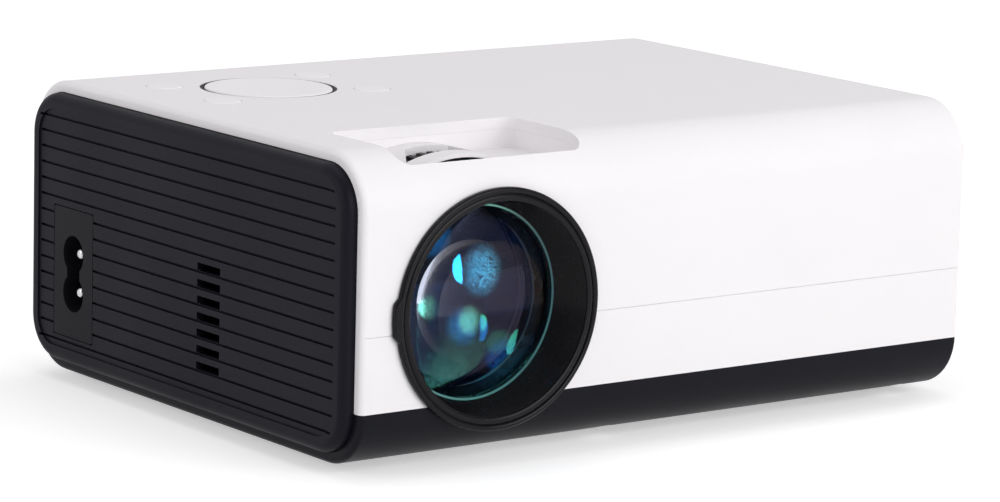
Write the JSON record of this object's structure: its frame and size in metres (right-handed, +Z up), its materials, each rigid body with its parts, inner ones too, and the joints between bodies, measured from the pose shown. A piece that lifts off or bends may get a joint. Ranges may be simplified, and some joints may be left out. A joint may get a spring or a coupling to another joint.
{
  "type": "projector",
  "caption": "Compact home projector: white rounded shell on a black base, ribbed black end panels, one large coated lens with a focus wheel, top keys and rear sockets",
  "frame": {"origin": "bottom centre of the bounding box, on the ground under the four rubber feet", "axes": "X to the right seen from the lens side, -Y towards the lens side, Z up"},
  "size_m": [0.1652, 0.1284, 0.0662],
  "materials": {
    "white_shell": "satin",
    "white_key": "satin",
    "black_shell": "satin",
    "black_panel": "fine matt",
    "black_moulding": "matt",
    "lens_black": "fine matt",
    "focus_black": "matt",
    "coated_glass": "polished, coated",
    "clear_sheet": "fine ridged",
    "display": "polished",
    "reflector_metal": "polished",
    "bare_aluminium": "extruded",
    "circuit_board": "solder mask",
    "steel": "plated",
    "key_linkage": "natural",
    "brass": "machined",
    "foot_rubber": "matt",
    "tilt_plastic": "matt"
  },
  "bodies": {
    "casing": {"base_tray": "black_shell", "lower_cover": "white_shell", "top_cover": "white_shell", "finger_tub": "white_shell", "left_panel": "black_panel", "right_panel": "black_panel", "ac_inlet": "black_moulding", "inlet_pins": "steel", "lens_guide": "black_moulding", "retaining_ring": "steel", "optics_box": "black_moulding", "front_fresnel": "clear_sheet", "lcd_panel": "display", "rear_fresnel": "clear_sheet", "reflector": "reflector_metal", "led_holder": "black_moulding", "condenser_lens": "coated_glass", "led_module": "bare_aluminium", "heat_sink": "bare_aluminium", "nav_bezel": "black_moulding", "key_board": "circuit_board", "fan_frame": "black_moulding", "main_board": "circuit_board", "power_board": "circuit_board", "board_spacers": "steel", "board_screws": "steel", "hdmi_port": "steel", "hdmi_tongue": "black_moulding", "usb_port": "steel", "usb_tongue": "black_moulding", "audio_jack": "black_moulding", "card_slot": "steel", "remote_eye": "black_moulding", "speaker": "black_moulding", "tripod_insert": "brass", "rubber_feet": "foot_rubber", "case_screws": "steel", "mount_screws": "steel"},
    "lens": {"lens_barrel": "lens_black", "focus_pins": "steel", "front_lens": "coated_glass", "lens_retainer": "lens_black", "middle_lens": "coated_glass", "lens_spacer": "lens_black", "rear_lens": "coated_glass", "rear_retainer": "lens_black"},
    "focus_wheel": {"focus_ring": "focus_black"},
    "key_plunger": {"nav_carrier": "key_linkage"},
    "key_gimbal": {"nav_rocker": "key_linkage"},
    "key_disc": {"nav_disc": "white_key"},
    "menu_key": {"menu_button": "white_key"},
    "power_key": {"power_button": "white_key"},
    "back_key": {"back_button": "white_key"},
    "source_key": {"source_button": "white_key"},
    "fan_wheel": {"fan_rotor": "black_moulding"},
    "tilt_pad": {"tilt_sole": "foot_rubber"},
    "tilt_screw": {"tilt_foot_screw": "tilt_plastic"}
  },
  "joints": [
    {"name": "focus_turn", "type": "hinge", "parent": "casing", "child": "focus_wheel", "pos_m": [-0.0469, -0.04383, 0.0326], "axis": [0, 1, 0], "range_deg": [0, 100]},
    {"name": "lens_slide", "type": "slide", "parent": "casing", "child": "lens", "axis": [0, -1, 0], "range_m": [0, 0.005]},
    {"name": "key_press", "type": "slide", "parent": "casing", "child": "key_plunger", "axis": [0, 0, -1], "range_m": [0, 0.0005], "stiffness_N_per_m": 300},
    {"name": "key_rock_fore_aft", "type": "hinge", "parent": "key_plunger", "child": "key_gimbal", "pos_m": [-0.0451, 0.0245, 0.06295], "axis": [1, 0, 0], "range_deg": [-1.5, 1.5], "stiffness_Nm_per_rad": 0.02},
    {"name": "key_rock_sideways", "type": "hinge", "parent": "key_gimbal", "child": "key_disc", "pos_m": [-0.0451, 0.0245, 0.06295], "axis": [0, 1, 0], "range_deg": [-1.5, 1.5], "stiffness_Nm_per_rad": 0.02},
    {"name": "menu_press", "type": "slide", "parent": "casing", "child": "menu_key", "axis": [0, 0, -1], "range_m": [0, 0.0004], "stiffness_N_per_m": 300},
    {"name": "power_press", "type": "slide", "parent": "casing", "child": "power_key", "axis": [0, 0, -1], "range_m": [0, 0.0004], "stiffness_N_per_m": 300},
    {"name": "back_press", "type": "slide", "parent": "casing", "child": "back_key", "axis": [0, 0, -1], "range_m": [0, 0.0004], "stiffness_N_per_m": 300},
    {"name": "source_press", "type": "slide", "parent": "casing", "child": "source_key", "axis": [0, 0, -1], "range_m": [0, 0.0004], "stiffness_N_per_m": 300},
    {"name": "fan_spin", "type": "hinge", "parent": "casing", "child": "fan_wheel", "pos_m": [0.06905, 0.00072, 0.034], "axis": [1, 0, 0], "continuous": true},
    {"name": "tilt_height", "type": "slide", "parent": "casing", "child": "tilt_pad", "axis": [0, 0, -1], "range_m": [0, 0.011]},
    {"name": "tilt_turn", "type": "hinge", "parent": "tilt_pad", "child": "tilt_screw", "pos_m": [0, -0.03413, 0.002], "axis": [0, 0, -1], "range_deg": [0, 3168]}
  ],
  "couplings": [
    {"joint": "focus_turn", "follows": "lens_slide", "rad_per_m": 349.06},
    {"joint": "tilt_turn", "follows": "tilt_height", "rad_per_m": 5026.5}
  ]
}
